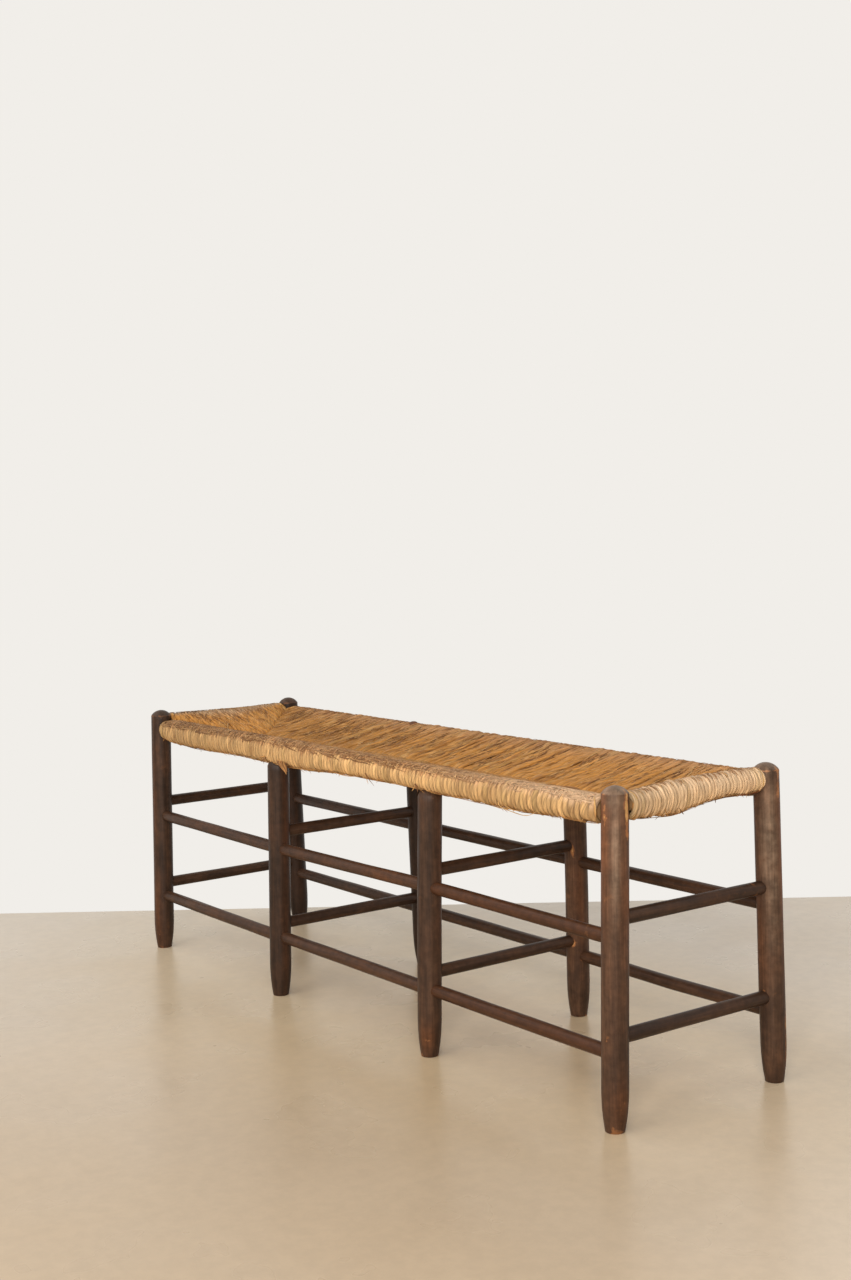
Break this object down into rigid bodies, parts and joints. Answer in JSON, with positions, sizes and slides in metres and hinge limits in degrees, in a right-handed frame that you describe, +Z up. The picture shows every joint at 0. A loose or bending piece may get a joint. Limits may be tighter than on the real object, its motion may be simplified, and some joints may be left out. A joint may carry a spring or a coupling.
{
  "type": "rush bench",
  "caption": "Long low bench with round tapered-foot legs, tiers of plain round stretchers and a dished seat of twisted rush wound over round rails.",
  "frame": {"origin": "centre of the footprint on the floor", "axes": "+X along the bench, +Y from its front to its back, +Z up"},
  "size_m": [1.3018, 0.3364, 0.453],
  "materials": {
    "dark_wood": "old dark stain rubbed to a satin, with reddish wear along edges",
    "seat_rush": "twisted dry rush cord, matt, straw to brown",
    "loose_rush": "loose dry rush leaves, matt"
  },
  "bodies": {
    "root": {"front_left_leg": "dark_wood", "front_inner_left_leg": "dark_wood", "front_inner_right_leg": "dark_wood", "front_right_leg": "dark_wood", "back_left_leg": "dark_wood", "back_inner_left_leg": "dark_wood", "back_inner_right_leg": "dark_wood", "back_right_leg": "dark_wood", "front_left_lower_stretcher": "dark_wood", "front_middle_lower_stretcher": "dark_wood", "front_right_lower_stretcher": "dark_wood", "back_left_lower_stretcher": "dark_wood", "back_middle_lower_stretcher": "dark_wood", "back_right_lower_stretcher": "dark_wood", "front_left_upper_stretcher": "dark_wood", "front_middle_upper_stretcher": "dark_wood", "front_right_upper_stretcher": "dark_wood", "back_left_upper_stretcher": "dark_wood", "back_middle_upper_stretcher": "dark_wood", "back_right_upper_stretcher": "dark_wood", "left_end_lower_stretcher": "dark_wood", "inner_left_cross_lower_stretcher": "dark_wood", "inner_right_cross_lower_stretcher": "dark_wood", "right_end_lower_stretcher": "dark_wood", "left_end_upper_stretcher": "dark_wood", "inner_left_cross_upper_stretcher": "dark_wood", "inner_right_cross_upper_stretcher": "dark_wood", "right_end_upper_stretcher": "dark_wood", "front_seat_rail": "dark_wood", "back_seat_rail": "dark_wood", "left_seat_rail": "dark_wood", "right_seat_rail": "dark_wood", "front_rush_packing": "loose_rush", "back_rush_packing": "loose_rush", "left_rush_packing": "loose_rush", "right_rush_packing": "loose_rush", "rush_seat": "seat_rush"}
  },
  "joints": []
}
